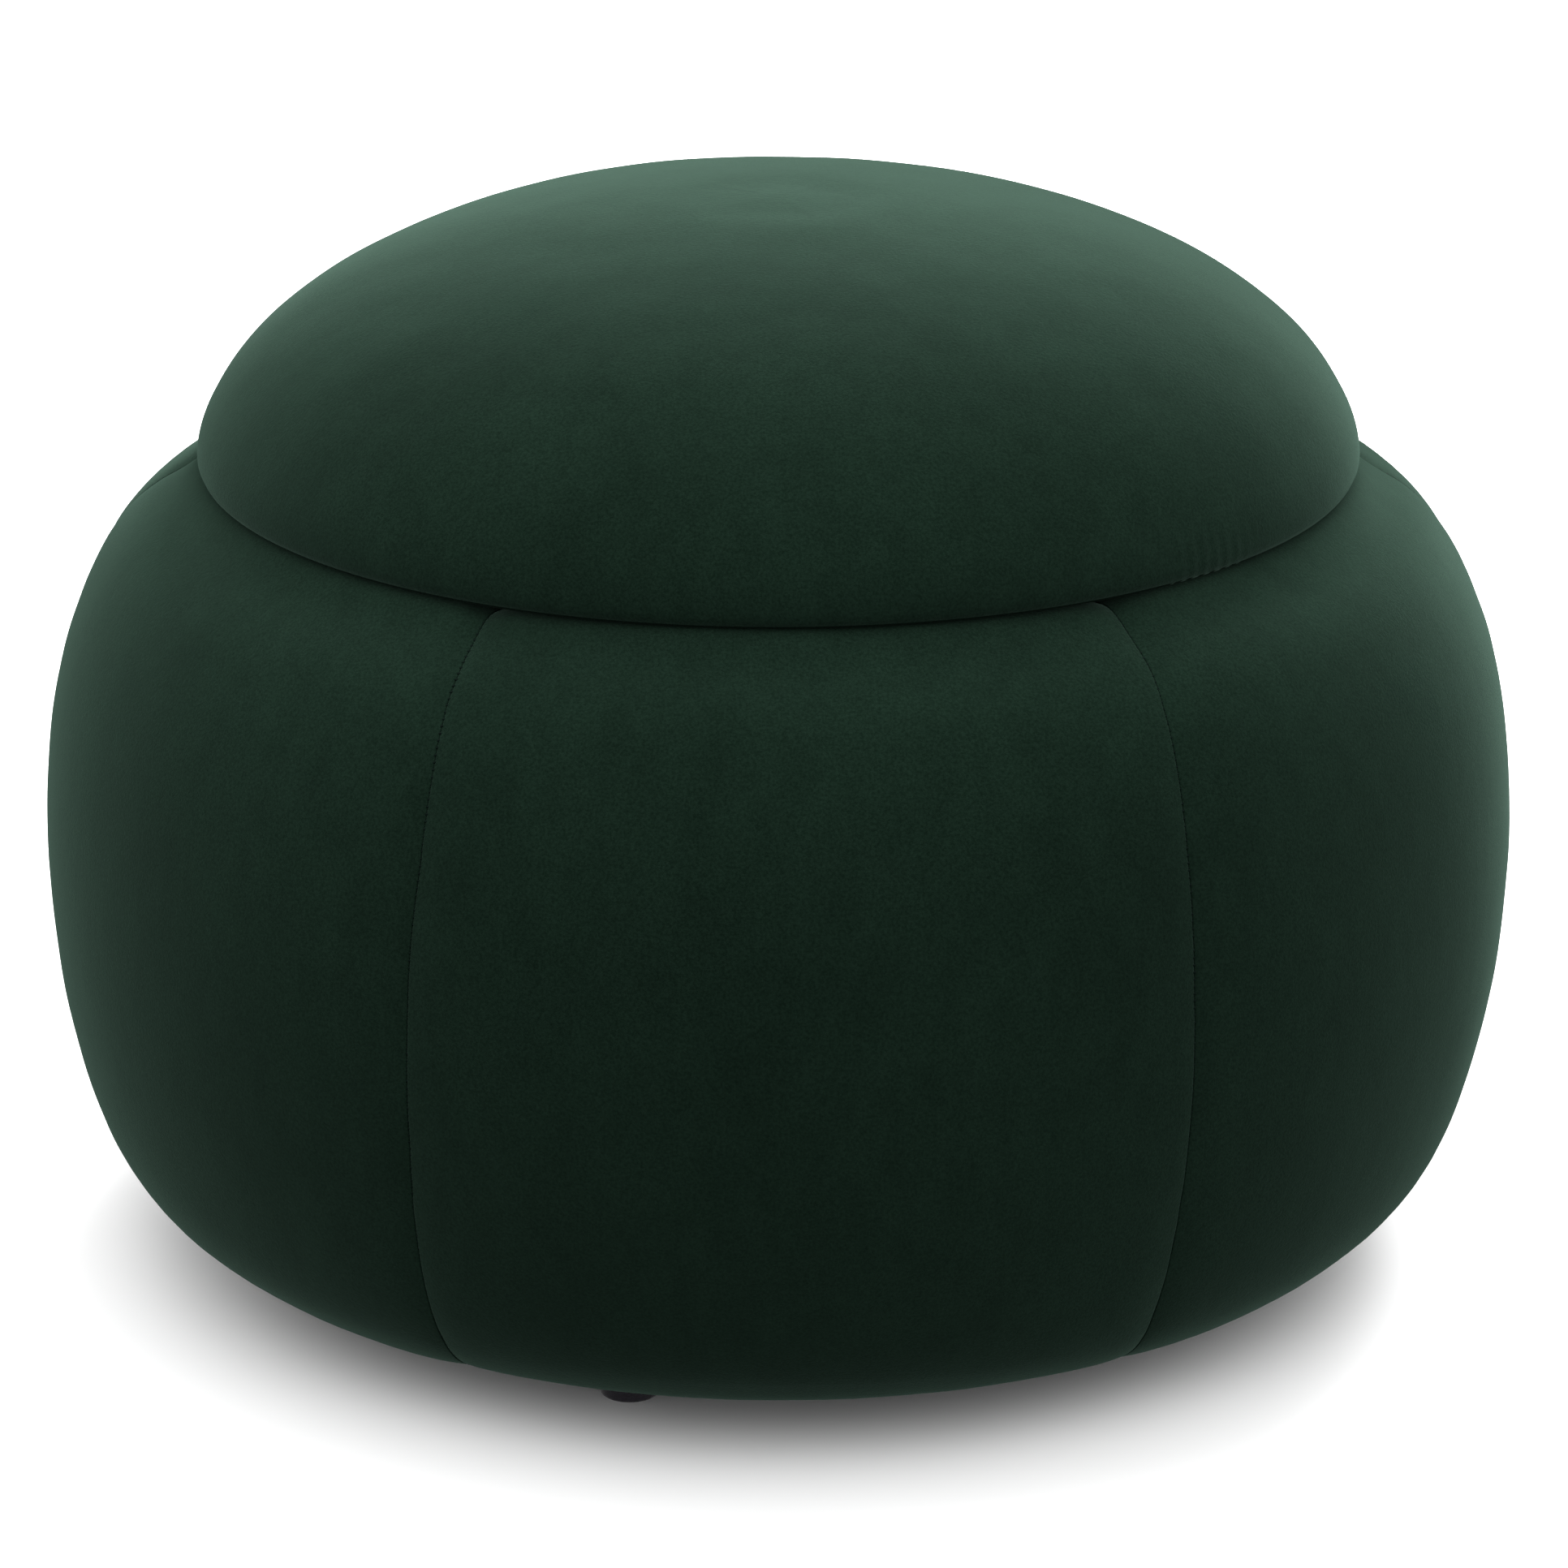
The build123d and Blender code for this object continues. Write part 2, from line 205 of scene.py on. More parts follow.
def arc(centre, radius, start, end, count=9):
    """Points along an arc between two angles in degrees."""
    a = np.radians(np.linspace(start, end, count))
    return np.stack([centre[0] + radius * np.cos(a), centre[1] + radius * np.sin(a)], axis=1)


def level_run(start, end, z, count):
    """Points along a level line between two radii."""
    return np.stack([np.linspace(start, end, count), np.full(count, z)], axis=1)


def paint_shaded_velvet(piece, faces, material):
    """Gives those faces a darker, duller copy of the velvet: painted shade in a crease or a seam.
    """
    piece.data.materials.append(material)
    for face in faces:
        face.material_index = 1


def new_object(name, points, faces, material, body):
    """A smooth-shaded mesh object that rides on a body."""
    mesh = bpy.data.meshes.new(name)
    mesh.from_pydata([tuple(p) for p in points], [], [tuple(f) for f in faces])
    mesh.validate()
    mesh.shade_smooth()
    mesh.materials.append(material)
    made = bpy.data.objects.new(name, mesh)
    bpy.context.scene.collection.objects.link(made)
    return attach(made, body)


def grid_faces(rows, columns, start=0, wrap=False, flip=False):
    """Quads over a grid of points stored row by row."""
    faces = []
    for i in range(rows - 1):
        for j in range(columns if wrap else columns - 1):
            k = (j + 1) % columns
            quad = [start + i * columns + j, start + i * columns + k,
                    start + (i + 1) * columns + k, start + (i + 1) * columns + j]
            faces.append(quad[::-1] if flip else quad)
    return faces


def strip(first, second):
    """Quads between two runs of point numbers."""
    return [[first[i], first[i + 1], second[i + 1], second[i]] for i in range(len(first) - 1)]


def shell(name, outer, inner, material, body):
    """A closed solid between two grids of points of the same size."""
    rows, columns = outer.shape[:2]
    count = rows * columns
    faces = grid_faces(rows, columns) + grid_faces(rows, columns, count, flip=True)
    index = np.arange(count).reshape(rows, columns)
    faces += strip(index[0, ::-1], index[0, ::-1] + count)
    faces += strip(index[-1], index[-1] + count)
    faces += strip(index[:, 0], index[:, 0] + count)
    faces += strip(index[::-1, -1], index[::-1, -1] + count)
    points = np.vstack([outer.reshape(-1, 3), inner.reshape(-1, 3)])
    return new_object(name, points, faces, material, body)


def off_axis(loop):
    """A section's points without its ends on the centre line, where it has them."""
    return loop[1:-1] if loop[0][0] < 1e-6 else loop


def turned_points(loop, offset, angles):
    """Points and faces of a solid of revolution. loop is its section as (radius, z) points, drawn
    with the solid on the left. A loop that starts and ends on the centre line is closed there, and
    any other loop closes on itself. offset(angle, index) moves a point of the section by
    (radius, z), and the ends on the centre line rise with the ring beside them."""
    ring_points = off_axis(loop)
    points, rows, segments = [], len(ring_points), len(angles)
    for i, (r, z) in enumerate(ring_points):
        for a in angles:
            dr, dz = offset(a, i) if offset else (0, 0)
            points.append(((r + dr) * cos(a), (r + dr) * sin(a), z + dz))
    faces = grid_faces(rows, segments, wrap=True)
    if rows < len(loop):
        for end, row, flip in ((loop[0], 0, True), (loop[-1], rows - 1, False)):
            lift = np.mean([offset(a, row)[1] for a in angles]) if offset else 0
            points.append((0, 0, end[1] + lift))
            ring = [row * segments + j for j in range(segments)]
            for j in range(segments):
                fan = [ring[j], ring[(j + 1) % segments], len(points) - 1]
                faces.append(fan[::-1] if flip else fan)
    else:
        last, first = (rows - 1) * segments, 0
        for j in range(segments):
            k = (j + 1) % segments
            faces.append([last + j, last + k, first + k, first + j])
    return points, faces


def all_round(segments):
    """That many evenly spaced angles."""
    return np.arange(segments) * 2 * pi / segments


def turned(name, loop, material, body, offset=None, angles=all_round(192)):
    """A solid of revolution as a piece, from what turned_points() takes."""
    points, faces = turned_points(loop, offset, angles)
    return new_object(name, points, faces, material, body)


def blown_up(loop, held, segments, pressure, stiffness):
    """Cloth over a turned form swells under air pressure between the points that are held.
    Gives how far each of the loop's points moves outwards, for every segment."""
    points, faces = turned_points(loop, None, all_round(segments))
    mesh = bpy.data.meshes.new("swelling")
    mesh.from_pydata(points, [], faces)
    cloth = bpy.data.objects.new("swelling", mesh)
    bpy.context.scene.collection.objects.link(cloth)
    ring_points = np.array(off_axis(loop))
    rows = len(ring_points)
    pins = cloth.vertex_groups.new(name="held")
    pinned = [i * segments + j for i in range(rows) for j in range(segments) if held(i, j)]
    pins.add(pinned, 1.0, "REPLACE")
    settings = cloth.modifiers.new("cloth", "CLOTH")
    cover = settings.settings
    cover.quality = cloth_quality
    cover.vertex_group_mass = "held"
    cover.use_pressure = True
    cover.uniform_pressure_force = pressure
    cover.tension_stiffness = stiffness
    cover.compression_stiffness = stiffness
    cover.shear_stiffness = stiffness
    cover.effector_weights.gravity = 0
    settings.point_cache.frame_start = 1
    settings.point_cache.frame_end = settle_frames
    scene = bpy.context.scene
    for number in range(1, settle_frames + 1):
        scene.frame_set(number)
    settled = cloth.evaluated_get(bpy.context.evaluated_depsgraph_get()).data
    count = rows * segments
    after = np.array([settled.vertices[i].co for i in range(count)])
    before = np.array(points[:count])
    bpy.data.objects.remove(cloth)
    scene.frame_set(1)
    moved = (after - before).reshape(rows, segments, 3)
    outward = normals_of(ring_points)
    angles = all_round(segments)
    radial = moved[..., 0] * np.cos(angles) + moved[..., 1] * np.sin(angles)
    return radial * outward[:, :1] + moved[..., 2] * outward[:, 1:]


def sampled(field, row, angle):
    """A field's value between its points. row counts its rows, and angle goes round."""
    rows, segments = field.shape
    row = min(max(row, 0), rows - 1.001)
    column = angle / (2 * pi) * segments
    i, j = int(row), int(column // 1)
    u, v = row - i, column - j
    j, k = j % segments, (j + 1) % segments
    below = field[i, j] * (1 - v) + field[i, k] * v
    above = field[i + 1, j] * (1 - v) + field[i + 1, k] * v
    return below * (1 - u) + above * u


def lump(x, y, z, size, seed=0.0):
    """Smooth unevenness from -1 to 1, with lumps about that size across."""
    return noise.noise(Vector((x / size + seed, y / size, z / size)))


def unevenness(x, y, z, waves):
    """The sum of several such lumps, each with a height, a size and a seed."""
    return sum(height * lump(x, y, z, size, seed) for height, size, seed in waves)


def smooth(t):
    """An even step from 0 to 1."""
    t = min(1, max(0, t))
    return t * t * (3 - 2 * t)


# ------------------------------------------------------------ materials

mix_factor, mix_first, mix_second = 0, 6, 7  # the Mix node's sockets for colours
mixed = 2  # and its output for colours
wave_scale = 0.314  # the Wave texture's scale for bands one metre apart


def grey(value):
    return (value, value, value)


def set_stops(ramp, stops):
    """Gives a colour ramp those (position, colour) stops."""
    ends = ramp.color_ramp.elements
    while len(ends) < len(stops):
        ends.new(0.5)
    for end, (position, colour) in zip(ends, stops):
        end.position = position
        end.color = (*colour, 1)


class Nodes:
    """A short way to write a material's nodes."""

    def __init__(self, name):
        self.material = bpy.data.materials.new(name)
        self.material.use_nodes = True
        self.tree = self.material.node_tree
        self.tree.nodes.clear()
        self.shader = self.add("ShaderNodeBsdfPrincipled")
        self.link(self.shader, 0, self.add("ShaderNodeOutputMaterial"), "Surface")
        self.place = self.add("ShaderNodeTexCoord")

    def add(self, kind, **values):
        """A new node, with those values on its inputs or its own settings."""
        made = self.tree.nodes.new(kind)
        for key, value in values.items():
            if key in made.inputs:
                made.inputs[key].default_value = value
            else:
                setattr(made, key, value)
        return made

    def link(self, source, out, target, into):
        self.tree.links.new(source.outputs[out], target.inputs[into])

    def texture(self, kind, **values):
        """A texture in the piece's own coordinates."""
        made = self.add(kind, **values)
        self.link(self.place, "Object", made, "Vector")
        return made

    def bands(self, axis, pitch, distortion, detail):
        """Bands across an axis, with that distance between them."""
        return self.texture("ShaderNodeTexWave", wave_type="BANDS", bands_direction=axis,
                            Scale=wave_scale / pitch, Distortion=distortion, Detail=detail)

    def noise(self, scale, detail=2.0, stretch=(1, 1, 1), roughness=0.5):
        """Noise in the piece's own coordinates, stretched along its axes."""
        mapping = self.add("ShaderNodeMapping")
        mapping.inputs["Scale"].default_value = stretch
        self.link(self.place, "Object", mapping, "Vector")
        made = self.add("ShaderNodeTexNoise", Scale=scale, Detail=detail, Roughness=roughness)
        self.link(mapping, 0, made, "Vector")
        return made

    def ramp(self, source, out, stops):
        """A colour ramp with (position, colour) stops."""
        made = self.add("ShaderNodeValToRGB")
        set_stops(made, stops)
        self.link(source, out, made, 0)
        return made

    def mix(self, kind, factor, first, second):
        """Mixes two colours. Each of factor, first and second is a value or a (node, output)."""
        made = self.add("ShaderNodeMix", data_type="RGBA", blend_type=kind)
        for socket, value in ((mix_factor, factor), (mix_first, first), (mix_second, second)):
            if isinstance(value, tuple) and isinstance(value[0], bpy.types.Node):
                self.tree.links.new(value[0].outputs[value[1]], made.inputs[socket])
            else:
                made.inputs[socket].default_value = value
        return made

    def shaded(self, base, out, source, stops, factor=1.0):
        """A colour multiplied by a ramp over some noise."""
        shade = self.ramp(source, "Fac", stops)
        return self.mix("MULTIPLY", factor, (base, out), (shade, 0))

    def colour(self, source, out=0):
        self.link(source, out, self.shader, "Base Color")

    def bump(self, height, out, strength, distance, under=None):
        """A bump over the whole shader, on top of another one where that is given."""
        made = self.add("ShaderNodeBump", Strength=strength, Distance=distance)
        self.link(height, out, made, "Height")
        if under:
            self.link(under, 0, made, "Normal")
        self.link(made, 0, self.shader, "Normal")
        return made

    def set(self, **values):
        """Sets the shader's own sockets."""
        for key, value in values.items():
            self.shader.inputs[key.replace("_", " ")].default_value = value


def velvet(name, sheen, shade):
    """Dark green velvet. sheen is how strongly its pile catches the light, and shade darkens it."""
    n = Nodes(name)
    n.set(Roughness=1.0, Specular_IOR_Level=0.0, Sheen_Weight=sheen, Sheen_Roughness=0.42,
          Sheen_Tint=(0.61, 1.0, 0.80, 1))
    pile = n.noise(900, 3, roughness=0.7)
    tufts = n.noise(2300, 2)
    smudges = n.noise(70, 4, stretch=(1, 1, 0.5), roughness=0.65)
    brushed = n.noise(9, 3, stretch=(1, 1, 0.6))
    dark = tuple(shade * c for c in (0.0050, 0.0124, 0.0078))
    light = tuple(shade * c for c in (0.0094, 0.0216, 0.0141))
    base = n.ramp(pile, "Fac", [(0.35, dark), (0.65, light)])
    smudged = n.shaded(base, 0, smudges, [(0.35, grey(0.84)), (0.65, grey(1.0))])
    lit = n.shaded(smudged, mixed, brushed, [(0.35, grey(0.9)), (0.65, grey(1.06))])
    n.colour(lit, mixed)
    fine = n.bump(tufts, "Fac", 0.3, 0.3 * mm)
    rough = n.bump(pile, "Fac", 0.32, 0.5 * mm, fine)
    n.bump(smudges, "Fac", 0.05, 2 * mm, rough)
    return n.material


def thread():
    """Twisted sewing thread, darker than the velvet."""
    n = Nodes("thread")
    n.set(Roughness=0.8, Specular_IOR_Level=0.05)
    twist = n.noise(3000, 2)
    dark, light = (0.0015, 0.004, 0.003), (0.004, 0.011, 0.008)
    n.colour(n.ramp(twist, "Fac", [(0.3, dark), (0.7, light)]))
    n.bump(twist, "Fac", 0.4, 0.1 * mm)
    return n.material


def woven(name, dark, light, pitch):
    """Plain weave with that distance between threads, drawn in all three directions."""
    n = Nodes(name)
    n.set(Roughness=0.85, Specular_IOR_Level=0.2, Sheen_Weight=0.25, Sheen_Roughness=0.5)
    across, along, upright = (n.bands(axis, pitch, 0.6, 1.0) for axis in ("X", "Y", "Z"))
    level = n.mix("MIX", 0.5, (across, 0), (along, 0))
    weave = n.mix("MIX", 0.34, (level, mixed), (upright, 0))
    slub = n.noise(300, 3)
    tone = n.mix("MIX", 0.5, (weave, mixed), (slub, "Color"))
    n.colour(n.ramp(tone, mixed, [(0.35, dark), (0.65, light)]))
    n.bump(weave, mixed, 0.5, 0.25 * mm)
    return n.material


def non_woven():
    """Black non-woven cloth with its even rows of weld dots."""
    n = Nodes("non_woven")
    n.set(Roughness=0.8, Specular_IOR_Level=0.25)
    dots = n.texture("ShaderNodeTexVoronoi", Scale=520, Randomness=0.15)
    fibres = n.noise(900, 4, stretch=(1, 0.25, 1))
    tone = n.mix("MIX", 0.5, (dots, "Distance"), (fibres, "Color"))
    n.colour(n.ramp(tone, mixed, [(0.3, grey(0.010)), (0.7, grey(0.028))]))
    under = n.bump(fibres, "Fac", 0.3, 0.2 * mm)
    n.bump(dots, "Distance", 0.5, 0.3 * mm, under)
    return n.material


def foam():
    """Cream polyurethane foam with open cells, a little yellowed in places."""
    n = Nodes("foam")
    n.set(Roughness=0.95, Specular_IOR_Level=0.1)
    cells = n.texture("ShaderNodeTexVoronoi", Scale=900)
    aged = n.noise(14, 3)
    base = n.ramp(cells, "Distance", [(0.1, (0.50, 0.42, 0.24)), (0.5, (0.80, 0.72, 0.50))])
    worn = n.shaded(base, 0, aged, [(0.4, (0.9, 0.85, 0.7)), (0.7, grey(1))], factor=0.5)
    n.colour(worn, mixed)
    n.bump(cells, "Distance", 0.7, 0.6 * mm)
    return n.material


def wadding():
    """White polyester wadding."""
    n = Nodes("wadding")
    n.set(Roughness=0.95, Specular_IOR_Level=0.1, Sheen_Weight=0.4, Sheen_Roughness=0.5)
    fibres = n.noise(260, 6, stretch=(1, 1, 0.3), roughness=0.75)
    n.colour(n.ramp(fibres, "Fac", [(0.3, grey(0.66)), (0.7, grey(0.88))]))
    n.bump(fibres, "Fac", 0.8, 1.5 * mm)
    return n.material


def plywood():
    """Birch plywood: face grain above and below, and thin layers round the edge."""
    n = Nodes("plywood")
    n.set(Roughness=0.6, Specular_IOR_Level=0.35)
    grain = n.noise(28, 8, stretch=(0.7, 9, 9), roughness=0.65)
    dark, middle, light = (0.50, 0.34, 0.19), (0.63, 0.46, 0.28), (0.71, 0.55, 0.36)
    face = n.ramp(grain, "Fac", [(0.3, dark), (0.55, middle), (0.8, light)])
    layers = n.bands("Z", 2.8 * mm, 0.8, 2.0)
    edge = n.ramp(layers, "Fac", [(0.35, (0.34, 0.21, 0.11)), (0.6, (0.62, 0.46, 0.28))])
    normal = n.add("ShaderNodeSeparateXYZ")
    n.link(n.place, "Normal", normal, 0)
    up = n.add("ShaderNodeMath", operation="ABSOLUTE")
    n.link(normal, "Z", up, 0)
    flat = n.ramp(up, 0, [(0.5, grey(0)), (0.7, grey(1))])
    n.colour(n.mix("MIX", (flat, 0), (edge, 0), (face, 0)), mixed)
    n.bump(grain, "Fac", 0.25, 0.3 * mm)
    return n.material


def fibreboard():
    """Brown fibreboard."""
    n = Nodes("fibreboard")
    n.set(Roughness=0.8, Specular_IOR_Level=0.25)
    fibres = n.noise(700, 5, stretch=(1, 1, 0.4), roughness=0.7)
    n.colour(n.ramp(fibres, "Fac", [(0.3, (0.20, 0.115, 0.055)), (0.7, (0.36, 0.23, 0.125))]))
    n.bump(fibres, "Fac", 0.3, 0.2 * mm)
    return n.material


def plastic():
    """Moulded glossy black plastic, with a faint violet cast and fine scuffs."""
    n = Nodes("plastic")
    n.set(Specular_IOR_Level=0.5, Coat_Weight=0.3, Coat_Roughness=0.12)
    scuffs = n.noise(500, 5, stretch=(1, 1, 4), roughness=0.7)
    n.colour(n.ramp(scuffs, "Fac", [(0.4, (0.010, 0.008, 0.013)), (0.75, (0.022, 0.018, 0.027))]))
    n.link(n.ramp(scuffs, "Fac", [(0.4, grey(0.2)), (0.75, grey(0.42))]), 0, n.shader, "Roughness")
    n.bump(scuffs, "Fac", 0.08, 0.1 * mm)
    return n.material


def steel():
    """Zinc-plated steel wire and screws."""
    n = Nodes("steel")
    n.set(Metallic=1.0)
    plating = n.noise(1500, 4)
    n.colour(n.ramp(plating, "Fac", [(0.3, (0.42, 0.41, 0.39)), (0.7, (0.62, 0.62, 0.62))]))
    n.link(n.ramp(plating, "Fac", [(0.3, grey(0.28)), (0.7, grey(0.5))]), 0, n.shader, "Roughness")
    n.bump(plating, "Fac", 0.2, 0.05 * mm)
    return n.material


materials = {
    "velvet": velvet("velvet", sheen=0.16, shade=1.0),
    # A darker, duller copy of the velvet: painted shade in the crease under the lid's edge
    "velvet_painted_shade": velvet("velvet_painted_shade", sheen=0.02, shade=0.7),
    # A darker, duller copy of the velvet: painted shade in the grooves along the seams
    "velvet_seam_painted_shade": velvet("velvet_seam_painted_shade", sheen=0.05, shade=0.95),
    "thread": thread(),
    "lining": woven("lining", dark=grey(0.012), light=grey(0.045), pitch=0.6 * mm),
    "non_woven": non_woven(),
    "foam": foam(),
    "wadding": wadding(),
    "plywood": plywood(),
    "fibreboard": fibreboard(),
    "plastic": plastic(),
    "steel": steel(),
}
materials["lining_board"] = materials["lining"]

slot_of = {entry["node"]: entry["material_slot"] for entry in record["subparts"]}
for name, cad_object in nodes.items():
    cad_object.data.materials.clear()
    cad_object.data.materials.append(materials[slot_of[name]])


# ------------------------------------------------------------ base: velvet panels and their foam

def side_section(inset):
    """The base's outline, that far under its surface, from the raw edge beneath to the hem in
    the mouth."""
    widest = body_radius - inset
    low, high = underside_z + inset, crest_z - inset
    mouth, crest_radius = opening_radius + inset, opening_radius + mouth_round
    k_low, k_under = skirt_fullness
    k_high, k_crest = shoulder_fullness
    skirt = bezier([(underside_radius, low),
                    (underside_radius + k_under * (widest - underside_radius), low),
                    (widest, equator_z - k_low * (equator_z - low)),
                    (widest, equator_z)], curve_points)
    shoulder = bezier([(widest, equator_z),
                       (widest, equator_z + k_high * (high - equator_z)),
                       (crest_radius + k_crest * (widest - crest_radius), high),
                       (crest_radius, high)], curve_points)
    roll = arc((crest_radius, crest_z - mouth_round), mouth_round - inset, 90, 180)
    return chain([(cover_edge_radius, low)], skirt, shoulder, roll, [(mouth, crest_z - hem_depth)])


def looseness(r, z):
    """0 where the velvet lies flat in the mouth, and 1 outside it."""
    return smooth((r - opening_radius) / (2 * mouth_round)) if z > equator_z else 1


def crown_at(r, z):
    """How far a panel's middle stands proud of its seams there."""
    growing = smooth((z - underside_z) / crown_run_up)
    fading = smooth((crest_z - z) / crown_run_down)
    return crown * growing * fading * looseness(r, z)


def side_segment(angle):
    """The simulated segment nearest to that angle."""
    return round(angle / (2 * pi) * side_segments)


def swollen_sides():
    """The side panels' padding blown up between the seams, the mouth and the stapled edge below."""
    outline = resample(side_section(0), side_rows)
    hem_z = crest_z - hem_depth
    wall = [(opening_radius, hem_z - t * (hem_z - underside_z) / wall_rows)
            for t in range(1, wall_rows + 1)]
    stapled = [r < underside_radius and z < equator_z for r, z in outline]
    in_mouth = [r <= opening_radius + mouth_round for r, z in outline]
    held_rows = [a or b for a, b in zip(stapled, in_mouth)] + [True] * len(wall)
    seams = {side_segment(a) % side_segments for a in seam_angles}

    def held(i, j):
        return held_rows[i] or j in seams

    loop = np.vstack([outline, wall])
    field = blown_up(loop, held, side_segments, side_pressure, side_stiffness)[:len(outline)]
    return outline, np.clip(field * crown / np.percentile(field, crown_percentile), 0, crown)


side_field = swollen_sides()


def side_swell(index, share, r, z):
    """How far the padding stands proud of the seams there. share goes from 0 to 1 across the
    panel."""
    if side_field is None:
        return crown_at(r, z) * (1 - abs(2 * share - 1) ** quick_crown_power)
    outline, field = side_field
    far = np.linalg.norm(outline - (r, z), axis=1)
    k = int(np.argmin(far))
    other = k + 1 if k == 0 or (k < len(outline) - 1 and far[k + 1] < far[k - 1]) else k - 1
    row = k + (other - k) * far[k] / (far[k] + far[other] + 1e-9)
    first, last = (side_segment(a) for a in seam_angles[index:index + 2])
    return sampled(field, row, (first + share * (last - first)) / side_segments * 2 * pi)


def seam_sink(distance, loose):
    """How far the velvet sinks at that distance from a seam: it rolls in at the seam itself."""
    roll = max(0, groove - distance)
    turned_in = groove - (groove**2 - roll**2) ** 0.5
    return turned_in + seam_dip * loose * exp(-distance / dip_reach)


def puckers(distance, height, seed, loose):
    """Small uneven gathers that fade away from the seam."""
    wave = lump(height, distance * 0.3, 0, pucker_size, seed)
    return pucker_height * loose * wave * exp(-distance / pucker_reach)


def seam_angle(side, z):
    """Where a seam runs at that height. It wanders a little, as sewn seams do."""
    number = side % panel_count
    if number in seam_wander:
        sideways = np.interp(z, wander_height, seam_wander[number])
    else:
        sideways = other_wander * lump(z, 0, 0, other_wander_size, 3.0 + number)
    return seam_angles[side] + sideways / body_radius


def shoulder_rise(r, z):
    """How much higher the shoulder's foam stands there than in the CAD."""
    return shoulder_lift * exp(-((r - lift_radius) / lift_width) ** 2) if z > equator_z else 0


def panel_columns(width):
    """Distances from a panel's first seam, close together near both seams."""
    inner = np.linspace(near_seam[-1], width / 2, columns_between + 1)[1:]
    left = np.concatenate([near_seam, inner])
    return np.concatenate([left, (width - left[::-1])[1:]])


def panel_surface(index, section, extra_inset=0.0, edge_gap=0.0):
    """A grid of points over one panel, that far under the velvet and from the panel's borders."""
    grid = []
    for (r, z), (nr, nz), s in zip(section, normals_of(section), lengths(section)):
        start = seam_angle(index, z)
        width = r * (seam_angle(index + 1, z) - start)
        lift = shoulder_rise(r, z)
        sink, loose = crown_sink * crown_at(r, z), looseness(r, z)
        columns = panel_columns(width)
        swells = [side_swell(index, d / width, r, z) for d in columns]
        row = []
        for d, swell in zip(columns, swells):
            d = min(max(d, edge_gap), width - edge_gap)
            a = start + d / r
            nearest = min(d, width - d)
            side = index if d < width / 2 else (index + 1) % panel_count
            x, y = r * cos(a), r * sin(a)
            swell += lift + loose * unevenness(x, y, z, panel_waves)
            swell += puckers(nearest, s, 31.0 * side, loose)
            swell -= seam_sink(nearest, loose) + extra_inset + sink
            q = r + nr * swell
            row.append((q * cos(a), q * sin(a), z + nz * swell))
        grid.append(row)
    return np.array(grid)


def make_side_panel(index):
    """One velvet panel, with painted shade along its two seams: a darker, duller velvet there."""
    section = resample(side_section(0), panel_rows)
    outer = panel_surface(index, section)
    inner = panel_surface(index, section, cover_t)
    number = index + 1
    panel = shell(f"velvet_panel_{number}", outer, inner, materials["velvet"], "base")
    rows, columns = outer.shape[0] - 1, outer.shape[1] - 1

    def from_seam(face):
        column = face.index % columns
        return min(column, columns - 1 - column)

    outside = panel.data.polygons[:rows * columns]
    # Painted shade: the faces beside the seams get a darker, duller velvet
    beside_seams = [face for face in outside if from_seam(face) < painted_shade_columns]
    paint_shaded_velvet(panel, beside_seams, materials["velvet_seam_painted_shade"])
    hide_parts(f"side_cover_{number}")


def frame_arc(outset, count=30):
    """The bowed edge of the ribs, between the base board and the top ring."""
    low = (board_high.x + outset, board_high.z)
    middle = (ring_high.x + outset, equator_z)
    high = (top_ring_high.x + outset, top_ring_low.z)
    t = np.linspace(-1, 1, count)[:, None]
    low, middle, high = (np.array(p) for p in (low, middle, high))
    return middle + t * (high - low) / 2 + t**2 * ((high + low) / 2 - middle)


def make_side_foam(index):
    """The foam under one panel. Outside it follows the velvet, from beside the board to the round
    of the mouth, and inside it follows the backing and the ring."""
    gap = side_foam_gap
    outline = side_section(0)
    start = np.argmax(outline[:, 0] > board_high.x)
    outer_section = resample(outline[start:-2], foam_rows)
    outer = panel_surface(index, outer_section, cover_t + gap, edge_gap=0.5 * mm)
    beside_board, beside_ring = board_high.x + gap, top_ring_high.x + gap
    over_ring = top_ring_high.z + gap
    inside = chain([(beside_board, board_low.z + gap), (beside_board, board_high.z)],
                   frame_arc(backing_t + gap),
                   [(beside_ring, top_ring_low.z), (beside_ring, over_ring),
                    (opening_radius + cover_t + gap, over_ring)])
    first, last = seam_angles[index:index + 2]
    inner = []
    for (r, z), (q, _) in zip(resample(inside, foam_rows), outer_section):
        angles = first + panel_columns(q * (last - first)) / q
        inner.append([(r * cos(a), r * sin(a), z) for a in angles])
    number = index + 1
    padding = shell(f"foam_panel_{number}", outer, np.array(inner), materials["foam"], "base")
    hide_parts(f"side_foam_{number}")


